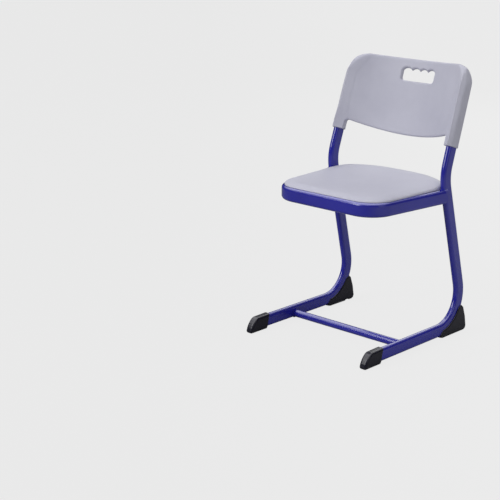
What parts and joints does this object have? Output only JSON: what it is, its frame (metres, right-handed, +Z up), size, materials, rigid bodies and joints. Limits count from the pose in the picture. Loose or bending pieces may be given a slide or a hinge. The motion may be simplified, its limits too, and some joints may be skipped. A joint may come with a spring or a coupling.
{
  "type": "student desk chair",
  "caption": "Classroom chair with a cantilever flat-oval steel frame, moulded plastic seat, concave backrest with a scalloped hand hole, and plastic feet.",
  "frame": {"origin": "on the floor, on the mirror plane, midway between the frontmost and rearmost points of the chair", "axes": "+Z up, -Y the way the sitter faces, +X towards the sitter's left"},
  "size_m": [0.4496, 0.5229, 0.7778],
  "materials": {
    "frame_paint": "glossy blue powder coat with slight orange peel",
    "shell_plastic": "fine-grained light grey moulded plastic",
    "foot_plastic": "satin black moulded plastic",
    "zinc_steel": "bright zinc plate",
    "aluminium_rivet": "plain blind rivet"
  },
  "bodies": {
    "root": {"left_side_frame": "frame_paint", "right_side_frame": "frame_paint", "seat_rail": "frame_paint", "foot_crossbar": "frame_paint", "seat_crossbar": "frame_paint", "rail_welds": "frame_paint", "foot_crossbar_welds": "frame_paint", "seat_crossbar_welds": "frame_paint", "seat_fixing_tabs": "frame_paint", "seat_shell": "shell_plastic", "backrest_shell": "shell_plastic", "left_front_cap": "foot_plastic", "right_front_cap": "foot_plastic", "left_heel_glide": "foot_plastic", "right_heel_glide": "foot_plastic", "seat_screws": "zinc_steel", "seat_washers": "zinc_steel", "backrest_screws": "zinc_steel", "front_cap_rivets": "aluminium_rivet", "heel_glide_rivets": "aluminium_rivet"}
  },
  "joints": []
}
